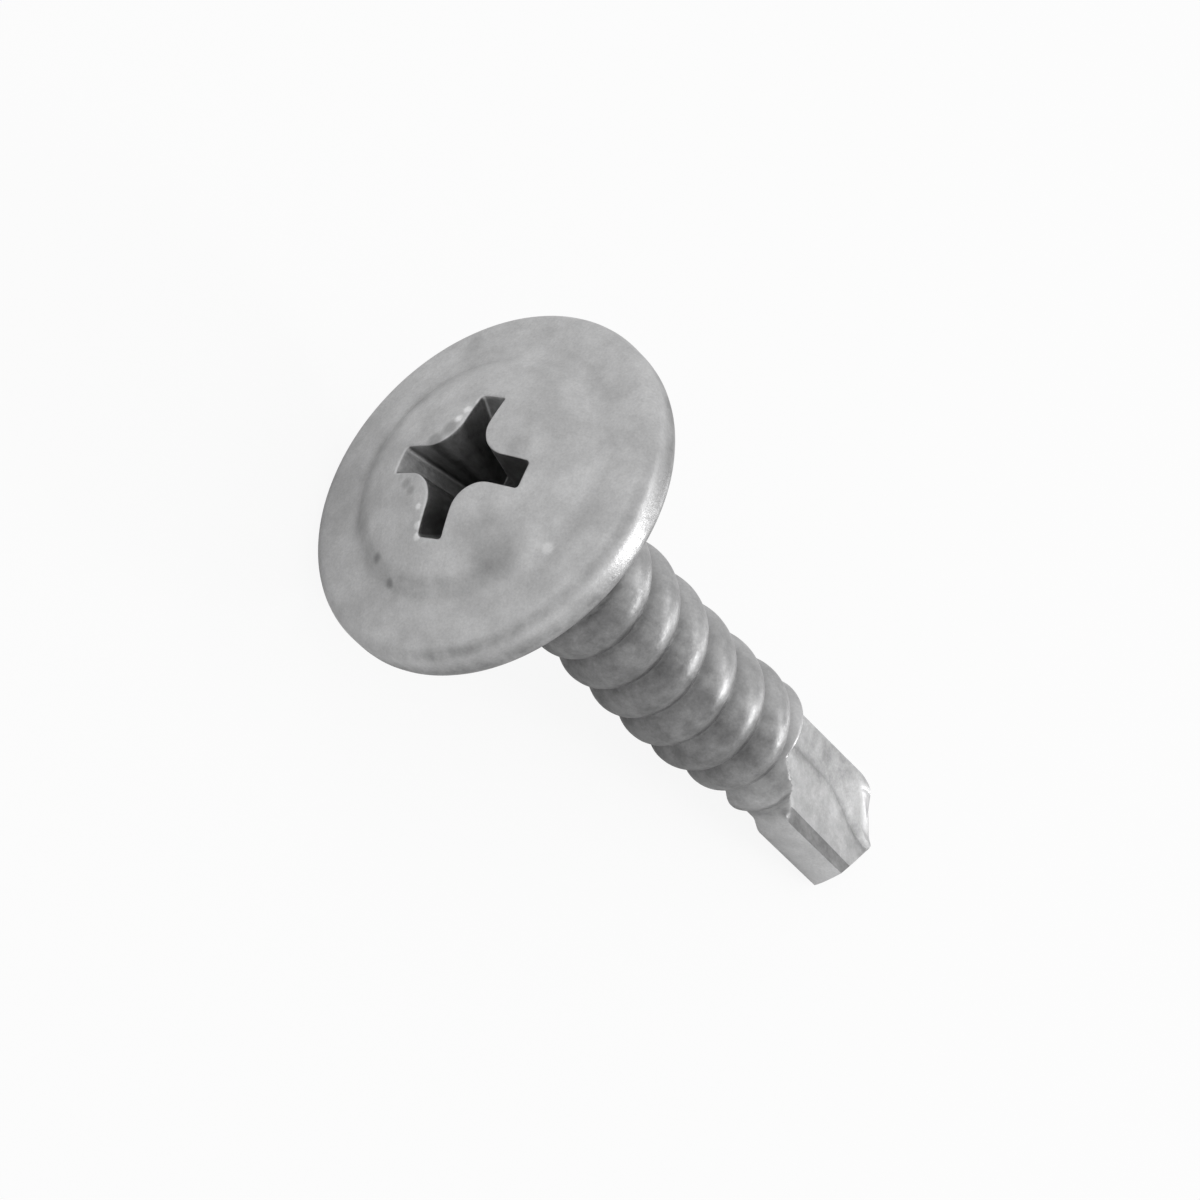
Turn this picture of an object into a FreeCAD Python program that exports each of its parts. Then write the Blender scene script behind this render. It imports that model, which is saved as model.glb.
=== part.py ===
import FreeCAD, Part
import math
import os

import Sketcher
from FreeCAD import Placement, Rotation, Vector

# Wafer-head self-drilling screw, one piece of cold-headed and zinc-plated steel.
#
# The screw is drawn upright on its own axis: the bearing face under the head is
# z = 0, the head is above it, and the shank, its thread and the drill point hang
# below. The arms of the cross recess lie along X and Y, and so do the two lips of
# the drill point (+Y and -Y). The last step lays the screw down as it comes to
# rest: on the rim of its head and near its tip, with one flute on top.

# Driving dimensions, in millimetres and degrees
SIZES = {
    # head
    "head_diameter": 10.7,
    "rim_height": 1.26,
    "rim_under_round": 0.42,
    "rim_top_round": 0.5,
    "dome_diameter": 7.2,
    "dome_foot_height": 1.6,
    "dome_height": 2.48,
    "dome_foot_blend": 0.2,
    # cross recess, measured at the top of the dome and at its floor
    "recess_span": 4.56,
    "recess_arm_width": 0.86,
    "recess_corner_round": 0.95,
    "recess_depth": 2.4,
    "recess_floor_span": 2.1,
    "recess_floor_arm_width": 0.62,
    "recess_floor_corner_round": 0.3,
    "recess_point_diameter": 1.0,
    "recess_point_depth": 0.35,
    # neck and core of the shank
    "neck_diameter": 3.5,
    "neck_length": 0.9,
    "neck_taper_length": 0.5,
    "neck_flare": 0.4,
    "core_diameter": 3.1,
    # thread
    "thread_diameter": 4.05,
    "thread_pitch": 1.6,
    "thread_crest_width": 0.3,
    "thread_valley_width": 0.35,
    "thread_root_sink": 0.12,
    "thread_full_turns": 6,
    "thread_full_end": 11.93,
    "run_in_turns": 0.75,
    "run_in_drop": 0.38,
    "run_out_turns": 2.3,
    "run_out_drop": 0.27,
    # drill point
    "screw_length": 19.5,
    "drill_diameter": 3.44,
    "drill_start": 14.1,
    "drill_shoulder_length": 0.4,
    "point_half_angle": 54.0,
    "point_relief_angle": 33.0,
    "land_angle": 30.0,
    "web_half_thickness": 0.28,
    "heel_wall_foot_out": 0.78,
    "heel_wall_foot_back": 0.98,
    "flute_rise": 0.2,
    "flute_mouth_margin": 0.5,
    "flute_top": 14.15,
    "flute_top_lean": 20.0,
}


def make_sheet(document):
    """Write the driving dimensions into a spreadsheet, one alias a row."""
    sheet = document.addObject("Spreadsheet::Sheet", "sizes")
    for row, (name, value) in enumerate(SIZES.items(), start=1):
        sheet.set("A%d" % row, name)
        sheet.set("B%d" % row, str(value))
        sheet.setAlias("B%d" % row, name)
    document.recompute()
    return sheet


def size(name):
    """The cell of one driving dimension, as an expression writes it."""
    return "sizes." + name


def origin_plane(body, role):
    """One of the three origin planes of a body."""
    return next(item for item in body.Origin.OriginFeatures if item.Role == role)


def add_sketch(body, name, role, height="0", turn="0", lean="0"):
    """A sketch on an origin plane.

    A level sketch is raised by height and leans about X, and an upright one is turned
    about the screw's axis.
    """
    sketch = body.newObject("Sketcher::SketchObject", name)
    sketch.AttachmentSupport = (origin_plane(body, role), [""])
    sketch.MapMode = "FlatFace"
    if role == "XY_Plane":
        sketch.AttachmentOffset = Placement(Vector(0, 0, 0), Rotation(Vector(1, 0, 0), 1))
        sketch.setExpression("AttachmentOffset.Base.z", height)
        sketch.setExpression("AttachmentOffset.Rotation.Angle", lean)
    else:
        sketch.AttachmentOffset = Placement(Vector(0, 0, 0), Rotation(Vector(0, 1, 0), 1))
        sketch.setExpression("AttachmentOffset.Rotation.Angle", turn)
    return sketch


def number(sketch, text):
    """The present value of an expression."""
    value = sketch.evalExpression(text)
    return float(getattr(value, "Value", value))


def pin(sketch, curve, end, corner):
    """Hold one end of a curve at a corner, whose two coordinates are expressions."""
    for kind, text in zip(("DistanceX", "DistanceY"), corner):
        value = number(sketch, text)
        index = sketch.addConstraint(Sketcher.Constraint(kind, -1, 1, curve, end, value))
        sketch.setExpression("Constraints[%d]" % index, text)


def arc_between(start, end, radius):
    """The short counter-clockwise arc of a radius from start to end."""
    middle = (start + end) / 2
    half = (end - start) / 2
    left = Vector(-half.y, half.x, 0).normalize()
    centre = middle + left * math.sqrt(max(radius ** 2 - half.Length ** 2, 0))
    circle = Part.Circle(centre, Vector(0, 0, 1), radius)
    return Part.ArcOfCircle(circle, circle.parameter(start), circle.parameter(end))


def draw_outline(sketch, corners, arcs=None, hollows=None):
    """Draw a closed outline through the corners, counter-clockwise.

    arcs maps the number of an edge, counted from its first corner, to the radius of
    an arc that replaces the straight line and bulges out of the outline. hollows does
    the same for arcs that bulge into it.
    """
    hollows = hollows or {}
    arcs = {**(arcs or {}), **hollows}
    points = [Vector(number(sketch, x), number(sketch, y), 0) for x, y in corners]
    curves = []
    for edge, start in enumerate(points):
        end = points[(edge + 1) % len(points)]
        if edge not in arcs:
            curves.append((sketch.addGeometry(Part.LineSegment(start, end)), 1, 2))
            continue
        radius = number(sketch, arcs[edge])
        if edge in hollows:
            curves.append((sketch.addGeometry(arc_between(end, start, radius)), 2, 1))
        else:
            curves.append((sketch.addGeometry(arc_between(start, end, radius)), 1, 2))
    for edge, (curve, first, last) in enumerate(curves):
        following, following_first, _ = curves[(edge + 1) % len(curves)]
        joint = Sketcher.Constraint("Coincident", curve, last, following, following_first)
        sketch.addConstraint(joint)
        pin(sketch, curve, first, corners[edge])
    for edge, radius in arcs.items():
        rounding = Sketcher.Constraint("Radius", curves[edge][0], number(sketch, radius))
        index = sketch.addConstraint(rounding)
        sketch.setExpression("Constraints[%d]" % index, radius)


def turn_blank(body):
    """Head, neck, core and drill stem, turned as one solid."""
    sketch = add_sketch(body, "blank_profile", "XZ_Plane")
    dome_radius = "(sizes.dome_diameter / 2)"
    head_radius = "(sizes.head_diameter / 2)"
    neck_radius = "(sizes.neck_diameter / 2)"
    core_radius = "(sizes.core_diameter / 2)"
    drill_radius = "(sizes.drill_diameter / 2)"
    taper_end = "-(sizes.neck_length + sizes.neck_taper_length)"
    dome_rise = "(sizes.dome_height - sizes.dome_foot_height)"
    dome_ball = "((%s ^ 2 + %s ^ 2) / (2 * %s))" % (dome_radius, dome_rise, dome_rise)
    dome_edge = "asin(%s / %s)" % (dome_radius, dome_ball)
    dome_start = "(%s - sizes.dome_foot_blend / %s * 1 rad)" % (dome_edge, dome_ball)
    brim_slope = "atan((sizes.dome_foot_height - sizes.rim_height) / (%s - %s))" % (
        head_radius, dome_radius)
    round_reach = "(sizes.rim_top_round * tan((90 deg - %s) / 2))" % brim_slope
    corners = [
        ("0", "-sizes.screw_length"),
        (drill_radius, "-sizes.screw_length"),
        (drill_radius, "-(sizes.drill_start + sizes.drill_shoulder_length)"),
        (core_radius, "-sizes.drill_start"),
        (core_radius, taper_end),
        (neck_radius, "-sizes.neck_length"),
        (neck_radius, "-sizes.neck_flare"),
        (neck_radius + " + sizes.neck_flare", "0"),
        (head_radius + " - sizes.rim_under_round", "0"),
        (head_radius + " - sizes.rim_under_round * (1 - cos(45 deg))",
         "sizes.rim_under_round * (1 - sin(45 deg))"),
        (head_radius, "sizes.rim_under_round"),
        (head_radius, "sizes.rim_height - " + round_reach),
        ("%s - %s * cos(%s)" % (head_radius, round_reach, brim_slope),
         "sizes.rim_height + %s * sin(%s)" % (round_reach, brim_slope)),
        ("%s + sizes.dome_foot_blend * cos(%s)" % (dome_radius, brim_slope),
         "sizes.dome_foot_height - sizes.dome_foot_blend * sin(%s)" % brim_slope),
        ("%s * sin(%s)" % (dome_ball, dome_start),
         "sizes.dome_foot_height + %s * (cos(%s) - cos(%s))" % (dome_ball, dome_start, dome_edge)),
        ("0", "sizes.dome_height"),
    ]
    draw_outline(sketch, corners, {11: "sizes.rim_top_round", 14: dome_ball})
    blank = body.newObject("PartDesign::Revolution", "blank")
    blank.Profile = sketch
    blank.ReferenceAxis = (sketch, ["V_Axis"])
    blank.Angle = 360
    return blank


def cross_corners(half_span, half_width, corner_round):
    """Corners of a cross with rounded inner corners, and the edges that are arcs."""
    inner = "(%s + %s)" % (half_width, corner_round)
    arm = [
        (half_span, "-" + half_width),
        (half_span, half_width),
        (inner, half_width),
        (half_width, inner),
    ]
    corners = []
    for quarter in range(4):
        corners += arm
        arm = [("-(%s)" % y, "(%s)" % x) for x, y in arm]
    arcs = {4 * quarter + 2: corner_round for quarter in range(4)}
    return corners, arcs


def sink_recess(body):
    """The cross recess: tapering arms that narrow to a small cross, and a conical point."""
    floor = "(sizes.dome_height - sizes.recess_depth)"
    levels = [
        ("recess_mouth", size("dome_height"), "recess_span", "recess_arm_width",
         "recess_corner_round"),
        ("recess_floor", floor, "recess_floor_span", "recess_floor_arm_width",
         "recess_floor_corner_round"),
    ]
    sketches = []
    for name, height, span, width, corner_round in levels:
        sketch = add_sketch(body, name, "XY_Plane", height=height)
        corners, arcs = cross_corners(
            "(%s / 2)" % size(span), "(%s / 2)" % size(width), size(corner_round)
        )
        draw_outline(sketch, corners, hollows=arcs)
        sketches.append(sketch)
    recess = body.newObject("PartDesign::SubtractiveLoft", "recess")
    recess.Profile = sketches[0]
    recess.Sections = sketches[1:]
    recess.Ruled = True
    point = add_sketch(body, "recess_point_profile", "XZ_Plane")
    corners = [
        ("0", floor + " - sizes.recess_point_depth"),
        ("sizes.recess_point_diameter / 2", floor),
        ("sizes.recess_point_diameter / 2", floor + " + sizes.recess_point_depth"),
        ("0", floor + " + sizes.recess_point_depth"),
    ]
    draw_outline(point, corners)
    groove = body.newObject("PartDesign::Groove", "recess_point")
    groove.Profile = point
    groove.ReferenceAxis = (point, ["V_Axis"])
    groove.Angle = 360
    return groove


def roll_thread(body):
    """The right-hand thread: a fading run-in, full turns, and a run-out onto the drill."""
    crest_out = "(sizes.thread_diameter / 2)"
    crest_half = "(sizes.thread_crest_width / 2)"
    core_out = "(sizes.core_diameter / 2)"
    core_half = "((sizes.thread_pitch - sizes.thread_valley_width) / 2)"
    root_out = "(%s - sizes.thread_root_sink)" % core_out
    root_half = "(%s + sizes.thread_root_sink * (%s - %s) / (%s - %s))" % (
        core_half, core_half, crest_half, crest_out, core_out)
    full_end = "(-sizes.thread_full_end)"
    full_start = "(-sizes.thread_full_end + sizes.thread_full_turns * sizes.thread_pitch)"
    stretches = [
        ("thread_full", full_end, "thread_full_turns", "0", False),
        ("thread_run_in", full_start, "run_in_turns",
         "-sizes.run_in_drop / sizes.run_in_turns", False),
        ("thread_run_out", full_end, "run_out_turns",
         "-sizes.run_out_drop / sizes.run_out_turns", True),
    ]
    for name, level, turns, growth, downward in stretches:
        sketch = add_sketch(body, name + "_profile", "XZ_Plane")
        corners = [
            (root_out, "%s - %s" % (level, root_half)),
            (crest_out, "%s - %s" % (level, crest_half)),
            (crest_out, "%s + %s" % (level, crest_half)),
            (root_out, "%s + %s" % (level, root_half)),
        ]
        draw_outline(sketch, corners)
        helix = body.newObject("PartDesign::AdditiveHelix", name)
        helix.Profile = sketch
        helix.ReferenceAxis = (sketch, ["V_Axis"])
        helix.Mode = "height-turns-growth"
        helix.Reversed = downward
        helix.setExpression("Turns", size(turns))
        helix.setExpression("Height", size(turns) + " * sizes.thread_pitch")
        helix.setExpression("Growth", growth)
        body.Document.recompute()
    return helix


def flute_corners(rise):
    """Section of one flute, opening towards +X, moved outwards by rise.

    From the lip at +Y its face crosses to the web beside the axis and its floor runs
    on to the foot of the short heel wall, which climbs to the edge of the other land.
    """
    drill_radius = "(sizes.drill_diameter / 2)"
    face_reach = "(%s + sizes.flute_mouth_margin)" % drill_radius
    heel_angle = "((90 - sizes.land_angle) * 1 deg)"
    heel_out = "(%s * cos(%s))" % (drill_radius, heel_angle)
    heel_back = "(-%s * sin(%s))" % (drill_radius, heel_angle)
    wall_slope = "((%s + sizes.heel_wall_foot_back) / (%s - sizes.heel_wall_foot_out))" % (
        heel_back, heel_out)
    foot_back = "(-sizes.heel_wall_foot_back + %s * %s)" % (rise, wall_slope)
    wall_top = "(%s + %s + sizes.flute_mouth_margin)" % (heel_out, rise)
    wall_top_back = "(%s + (%s + sizes.flute_mouth_margin) * %s)" % (
        heel_back, rise, wall_slope)
    mouth = "(%s + %s)" % (face_reach, rise)
    face_end = "(%s - sizes.web_half_thickness * sizes.flute_mouth_margin / %s)" % (
        rise, drill_radius)
    return [
        ("(sizes.web_half_thickness + %s)" % rise, "0"),
        ("(sizes.heel_wall_foot_out + %s)" % rise, foot_back),
        (wall_top, wall_top_back),
        (mouth + " + sizes.flute_mouth_margin", wall_top_back),
        (mouth + " + sizes.flute_mouth_margin", face_reach),
        (face_end, face_reach),
    ]


def cut_flutes(body):
    """Two opposite flutes, which run out of the stem on their way up."""
    levels = [
        ("flute_at_tip", "-sizes.screw_length", "0", "0"),
        ("flute_at_top", "-sizes.flute_top", size("flute_rise"), size("flute_top_lean")),
    ]
    sketches = []
    for name, height, rise, lean in levels:
        sketch = add_sketch(body, name, "XY_Plane", height=height, lean=lean)
        draw_outline(sketch, flute_corners(rise))
        sketches.append(sketch)
    flute = body.newObject("PartDesign::SubtractiveLoft", "flute")
    flute.Profile = sketches[0]
    flute.Sections = sketches[1:]
    flute.Ruled = True
    body.Document.recompute()
    pair = body.newObject("PartDesign::PolarPattern", "flutes")
    pair.Originals = [flute]
    pair.Axis = (sketches[0], ["N_Axis"])
    pair.Angle = 360
    pair.Occurrences = 2
    body.Tip = pair
    return pair


def grind_point(body):
    """The two flanks of the point: a roof whose planes fall away behind the lips."""
    lip_fall = "(1 / tan(sizes.point_half_angle * 1 deg))"
    relief = "tan(sizes.point_relief_angle * 1 deg)"
    slope = "sqrt(%s ^ 2 + %s ^ 2)" % (lip_fall, relief)
    turn = "90 + atan(%s / %s) / 1 deg" % (relief, lip_fall)
    sketch = add_sketch(body, "point_profile", "XZ_Plane", turn=turn)
    reach = "(sizes.drill_diameter)"
    ridge = "-sizes.screw_length"
    foot = "(%s + %s * %s)" % (ridge, reach, slope)
    below = "(%s - sizes.drill_diameter)" % ridge
    corners = [
        ("-" + reach, below),
        (reach, below),
        (reach, foot),
        ("0", ridge),
        ("-" + reach, foot),
    ]
    draw_outline(sketch, corners)
    point = body.newObject("PartDesign::Pocket", "point")
    point.Profile = sketch
    point.Midplane = True
    point.setExpression("Length", "2 * " + reach)
    return point


def rest_placement(sheet, shape):
    """Lay the screw down: head towards -X, tip towards +X, on the floor z = 0.

    It rests on the rim of its head and on whichever of two places touches first: the
    thread where the lower flute ends, or the web at the tip. The flutes face up and
    down, so the screw doesn't roll.
    """
    head_radius = sheet.head_diameter / 2
    thread_fade = sheet.run_out_drop / (sheet.run_out_turns * sheet.thread_pitch)
    touching = [
        (sheet.thread_diameter / 2 - thread_fade * (sheet.flute_top - sheet.thread_full_end),
         sheet.flute_top),
        (sheet.web_half_thickness, sheet.screw_length),
    ]
    tilt = min(
        math.atan2(head_radius - radius, reach + sheet.rim_under_round)
        for radius, reach in touching
    )
    roll = Rotation(Vector(0, 0, 1), -sheet.land_angle / 2)
    upright_to_lying = Rotation(Vector(0, 1, 0), -(90 - math.degrees(tilt)))
    turned = Placement(Vector(0, 0, 0), upright_to_lying * roll)
    lying = shape.copy()
    lying.Placement = turned
    box = lying.optimalBoundingBox()
    turned.Base = Vector(-box.Center.x, -box.Center.y, -box.ZMin)
    return turned


def check(document):
    """Stop if any object of the document failed or holds no valid shape."""
    for item in document.Objects:
        bad = [state for state in item.State if state in ("Invalid", "Error")]
        if bad:
            raise RuntimeError("%s is %s" % (item.Label, bad))


document = FreeCAD.newDocument("wafer_head_screw")
sizes = make_sheet(document)
screw = document.addObject("PartDesign::Body", "screw")
screw.Label = "screw"
turn_blank(screw)
sink_recess(screw)
roll_thread(screw)
cut_flutes(screw)
grind_point(screw)
document.recompute()
check(document)
screw.Placement = rest_placement(sizes, screw.Shape)
document.recompute()
check(document)
if screw.Shape.isNull() or not screw.Shape.isValid():
    raise RuntimeError("the screw has no valid shape")
print("volume %.2f mm3, %d solids" % (screw.Shape.Volume, len(screw.Shape.Solids)))
os.makedirs("parts", exist_ok=True)
screw.Shape.exportStep("parts/%s.step" % screw.Label)
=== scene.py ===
"""Zinc-plated wafer head self-drilling screw, dressed for its studio picture.

The screw is drawn upright in its own millimetres: the bearing face under the head is
z = 0, the head is above it and the shank hangs below. The pose then lays it down on the
frame's floor, in metres, where the solid model lies.
"""
import logging
import math
from dataclasses import dataclass, field
from enum import Enum
from typing import NamedTuple

import bmesh
import bpy
from mathutils import Matrix, Vector


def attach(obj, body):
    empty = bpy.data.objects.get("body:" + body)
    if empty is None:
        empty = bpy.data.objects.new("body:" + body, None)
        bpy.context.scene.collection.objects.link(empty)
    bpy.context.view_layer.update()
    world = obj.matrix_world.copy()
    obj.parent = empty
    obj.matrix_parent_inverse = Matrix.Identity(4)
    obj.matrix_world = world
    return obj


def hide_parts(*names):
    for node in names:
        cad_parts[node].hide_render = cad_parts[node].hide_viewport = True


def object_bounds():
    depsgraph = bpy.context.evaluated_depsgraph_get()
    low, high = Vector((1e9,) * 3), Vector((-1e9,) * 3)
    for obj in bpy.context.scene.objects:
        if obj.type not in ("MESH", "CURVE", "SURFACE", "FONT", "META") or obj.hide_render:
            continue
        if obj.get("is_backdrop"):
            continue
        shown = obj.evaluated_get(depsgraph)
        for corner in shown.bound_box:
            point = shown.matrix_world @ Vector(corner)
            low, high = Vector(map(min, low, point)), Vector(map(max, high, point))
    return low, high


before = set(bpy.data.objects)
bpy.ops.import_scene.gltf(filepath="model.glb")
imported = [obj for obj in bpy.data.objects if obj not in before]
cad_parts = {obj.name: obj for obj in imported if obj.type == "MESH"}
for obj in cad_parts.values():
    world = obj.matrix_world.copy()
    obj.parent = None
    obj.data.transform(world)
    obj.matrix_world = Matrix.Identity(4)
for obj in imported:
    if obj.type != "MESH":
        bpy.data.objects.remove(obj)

LOG = logging.getLogger("screw")
MILLIMETRE = 0.001
COLUMNS = 224
HALF = COLUMNS // 2

Point = tuple[float, float, float]
Flat = tuple[float, float]


class Ease(Enum):
    """How a value goes from one end of a range to the other."""

    STRAIGHT = "LINEAR"
    SOFT = "SMOOTHSTEP"


def soft_step(value: float) -> float:
    """Ease a share between 0 and 1 in and out."""
    share = min(max(value, 0.0), 1.0)
    return share * share * (3.0 - 2.0 * share)


def eased(value: float, start: float, end: float) -> float:
    """Ease from 0 to 1 while a value goes from a start to an end."""
    return soft_step((value - start) / (end - start))


def between(start: float, end: float, share: float) -> float:
    """The value at a share of the way from a start to an end."""
    return start + (end - start) * share


def soft_max(first: float, second: float, softness: float) -> float:
    """The larger of two values, with the corner between them rounded."""
    return 0.5 * (first + second + math.hypot(first - second, softness))


def cosine_spread(count: int) -> list[float]:
    """Shares from 0 up to, but without, 1 that crowd towards both ends."""
    return [0.5 - 0.5 * math.cos(math.pi * index / count) for index in range(count)]


def uniform_angles() -> list[float]:
    """The angle of each column of an evenly divided ring, in radians."""
    return [2.0 * math.pi * column / COLUMNS for column in range(COLUMNS)]


def circle(radius: float, level: float, angles: list[float]) -> list[Point]:
    """A ring about the screw's axis.

    Args:
        radius: Distance from the axis.
        level: Height of the ring.
        angles: Angle of each column.

    Returns:
        One point for each column.
    """
    return [(radius * math.cos(turn), radius * math.sin(turn), level) for turn in angles]


def arc(centre: Flat, radius: float, start: float, end: float, steps: int) -> list[Flat]:
    """An arc in a plane, with both its ends.

    Args:
        centre: Centre of the arc.
        radius: Radius of the arc.
        start: Angle at which it begins, in radians.
        end: Angle at which it ends, in radians.
        steps: Number of its equal steps.

    Returns:
        The points, one more than the steps.
    """
    turns = [between(start, end, step / steps) for step in range(steps + 1)]
    return [
        (centre[0] + radius * math.cos(turn), centre[1] + radius * math.sin(turn))
        for turn in turns
    ]


@dataclass(frozen=True)
class Wiring:
    """Adds nodes to a tree and plugs values into them."""

    tree: bpy.types.NodeTree

    def plug(self, socket: bpy.types.NodeSocket, value: object) -> None:
        """Set a socket to a number, or link it to another socket.

        Args:
            socket: The input to be set.
            value: A number, or the output that feeds the input.
        """
        if isinstance(value, bpy.types.NodeSocket):
            self.tree.links.new(value, socket)
        else:
            socket.default_value = value

    def compute(self, operation: str, *values: object) -> bpy.types.NodeSocket:
        """Add a Math node.

        Args:
            operation: Name of the operation.
            values: Numbers or sockets, in the order of the node's inputs.

        Returns:
            The result.
        """
        node = self.tree.nodes.new("ShaderNodeMath")
        node.operation = operation
        for socket, value in zip(node.inputs, values):
            self.plug(socket, value)
        return node.outputs[0]

    def ranged(self, ease: Ease, *values: object) -> bpy.types.NodeSocket:
        """Add a Map Range node, which takes a value from one range to another.

        Args:
            ease: How the value goes from one end to the other.
            values: The value, the low and the high end, and what they turn into.

        Returns:
            The result.
        """
        node = self.tree.nodes.new("ShaderNodeMapRange")
        node.interpolation_type = ease.value
        for socket, value in zip(node.inputs, values):
            self.plug(socket, value)
        return node.outputs[0]

    def product(self, first: object, *others: object) -> bpy.types.NodeSocket:
        """Multiply values, one after the other.

        Args:
            first: The first number or socket.
            others: What it is multiplied by.

        Returns:
            The result.
        """
        for other in others:
            first = self.compute("MULTIPLY", first, other)
        return first


@dataclass(frozen=True)
class RestingPose:
    """How the screw lies: on the rim of its head and on its thread near the point."""

    tilt_deg: float = 13.463
    roll_deg: float = 15.0
    bearing_centre: Point = (-8.203, 0.0, 5.105)

    def matrix(self) -> Matrix:
        """Place the upright screw in the frame.

        Returns:
            The matrix from the screw's millimetres to the frame's metres.
        """
        lay = Matrix.Rotation(math.radians(self.tilt_deg - 90.0), 4, "Y")
        roll = Matrix.Rotation(math.radians(-self.roll_deg), 4, "Z")
        seat = Matrix.Translation(Vector(self.bearing_centre))
        return Matrix.Scale(MILLIMETRE, 4) @ seat @ lay @ roll


class ArmSizes(NamedTuple):
    """Sizes of one section of the recess."""

    reach: float
    half_width: float
    inner_round: float
    nose_round: float


@dataclass
class CrossRecess:
    """The cross recess: tapering arms with wide inner rounds and a conical point.

    A quarter of a section has twice the columns of the end, nose and side and once those
    of the hollow, which together make a quarter of COLUMNS.
    """

    mouth_level: float = 2.48
    depth: float = 2.4
    mouth: ArmSizes = ArmSizes(2.36, 0.43, 0.95, 0.12)
    floor: ArmSizes = ArmSizes(1.05, 0.31, 0.30, 0.08)
    lip_round: float = 0.06
    lip_turns_deg: tuple[float, ...] = (30.0, 60.0, 90.0)
    point_radius: float = 0.28
    point_depth: float = 0.35
    point_shares: tuple[float, ...] = (0.35, 0.7, 1.0)
    floor_shares: tuple[float, ...] = (0.45, 0.85)
    off_centre: Flat = (-0.08, -0.08)
    end_columns: int = 5
    nose_columns: int = 4
    side_columns: int = 9
    hollow_columns: int = 20
    wall_rows: int = 16
    approach_rounds: int = 4

    def outline(self, level: float, grow: float = 0.0) -> list[Flat]:
        """Section of the recess at one level.

        Args:
            level: Height of the section.
            grow: How far outside the wall the outline runs.

        Returns:
            One point for each column, counter-clockwise from the middle of an arm's end.
        """
        share = (self.mouth_level - level) / self.depth
        span, width, inner, nose = (
            between(top, bottom, share) for top, bottom in zip(self.mouth, self.floor)
        )
        span, width, inner = span + grow, width + grow, inner - grow
        arm: list[Flat] = [
            (span, (width - nose) * step / self.end_columns) for step in range(self.end_columns)
        ]
        arm += arc((span - nose, width - nose), nose, 0.0, math.pi / 2, self.nose_columns)[:-1]
        end = width + inner
        for step in range(self.side_columns):
            arm.append((between(span - nose, end, step / self.side_columns), width))
        hollow = arc((end, end), inner, 1.5 * math.pi, math.pi, self.hollow_columns)[:-1]
        mirrored = [(y, x) for x, y in reversed(arm[1:] + [(end, width)])]
        quarter = arm + hollow + mirrored
        points: list[Flat] = []
        for _ in range(4):
            points += quarter
            quarter = [(-y, x) for x, y in quarter]
        return [(x + self.off_centre[0], y + self.off_centre[1]) for x, y in points]

    def on_surface(self, top: "HeadTop", sink: float, grow: float) -> list[Point]:
        """The outline where the wall meets a surface parallel to the top of the head.

        Args:
            top: The top of the head.
            sink: How far the surface lies under the top.
            grow: How far outside the wall the outline runs.

        Returns:
            One point for each column.
        """
        levels = [self.mouth_level] * COLUMNS
        for _ in range(self.approach_rounds):
            flats = [self.outline(level, grow)[column] for column, level in enumerate(levels)]
            levels = [top.height(math.hypot(x, y)) - sink for x, y in flats]
        return [(x, y, level) for (x, y), level in zip(flats, levels)]

    def rings(self, top: "HeadTop") -> list[list[Point]]:
        """Rings from the point at the bottom up to the rounded lip.

        Args:
            top: The top of the head.

        Returns:
            The rings, innermost first.
        """
        floor_level = self.mouth_level - self.depth
        floor = self.outline(floor_level)
        rings: list[list[Point]] = []
        for share in self.point_shares:
            ring = []
            for x, y in floor:
                reach = self.point_radius * share / math.hypot(x, y)
                sink = self.point_depth * (1.0 - share)
                ring.append((x * reach, y * reach, floor_level - sink))
            rings.append(ring)
        inner = rings[-1]
        for share in self.floor_shares:
            rings.append([
                (between(ix, x, share), between(iy, y, share), floor_level)
                for (ix, iy, _), (x, y) in zip(inner, floor)
            ])
        brink = self.on_surface(top, self.lip_round, 0.0)
        for row in range(self.wall_rows + 1):
            even = row / self.wall_rows
            share = 0.5 * (soft_step(even) + even)
            ring = []
            for column, (_, _, high) in enumerate(brink):
                level = between(floor_level, high, share)
                x, y = self.outline(level)[column]
                ring.append((x, y, level))
            rings.append(ring)
        for turn_deg in self.lip_turns_deg:
            turn = math.radians(turn_deg)
            sink = self.lip_round * (1.0 - math.sin(turn))
            grow = self.lip_round * (1.0 - math.cos(turn))
            rings.append(self.on_surface(top, sink, grow))
        return rings


@dataclass
class HeadTop:
    """The top of the head: a low dome with a stepped foot on a gently sloping brim."""

    radius: float = 5.348
    rim_height: float = 1.26
    dome_radius: float = 3.6
    foot_height: float = 1.6
    dome_height: float = 2.48
    step_height: float = 0.07
    step: Flat = (3.42, 3.72)
    crown: Flat = (2.2, 3.4)
    foot_softness: float = 0.05
    sink: float = 0.01

    def brim_slope(self) -> float:
        """Slope of the brim, in radians."""
        return math.atan2(self.foot_height - self.rim_height, self.radius - self.dome_radius)

    def height(self, reach: float) -> float:
        """Height of the top at a distance from the axis.

        Args:
            reach: Distance from the axis.

        Returns:
            The height above the bearing face.
        """
        rise = self.dome_height - self.foot_height
        ball = (self.dome_radius ** 2 + rise ** 2) / (2 * rise)
        dome = self.dome_height - ball + math.sqrt(ball ** 2 - reach ** 2)
        brim = self.rim_height + (self.radius - reach) * math.tan(self.brim_slope())
        step = self.step_height * eased(reach, *self.step)
        crown = self.step_height * eased(reach, *self.crown)
        return soft_max(dome, brim, self.foot_softness) + crown - step - self.sink


@dataclass(frozen=True)
class Neck:
    """The plain stretch between the head and the threaded stem."""

    radius: float = 1.75
    fillet: float = 0.4
    length: float = 0.9
    taper: float = 0.5


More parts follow.
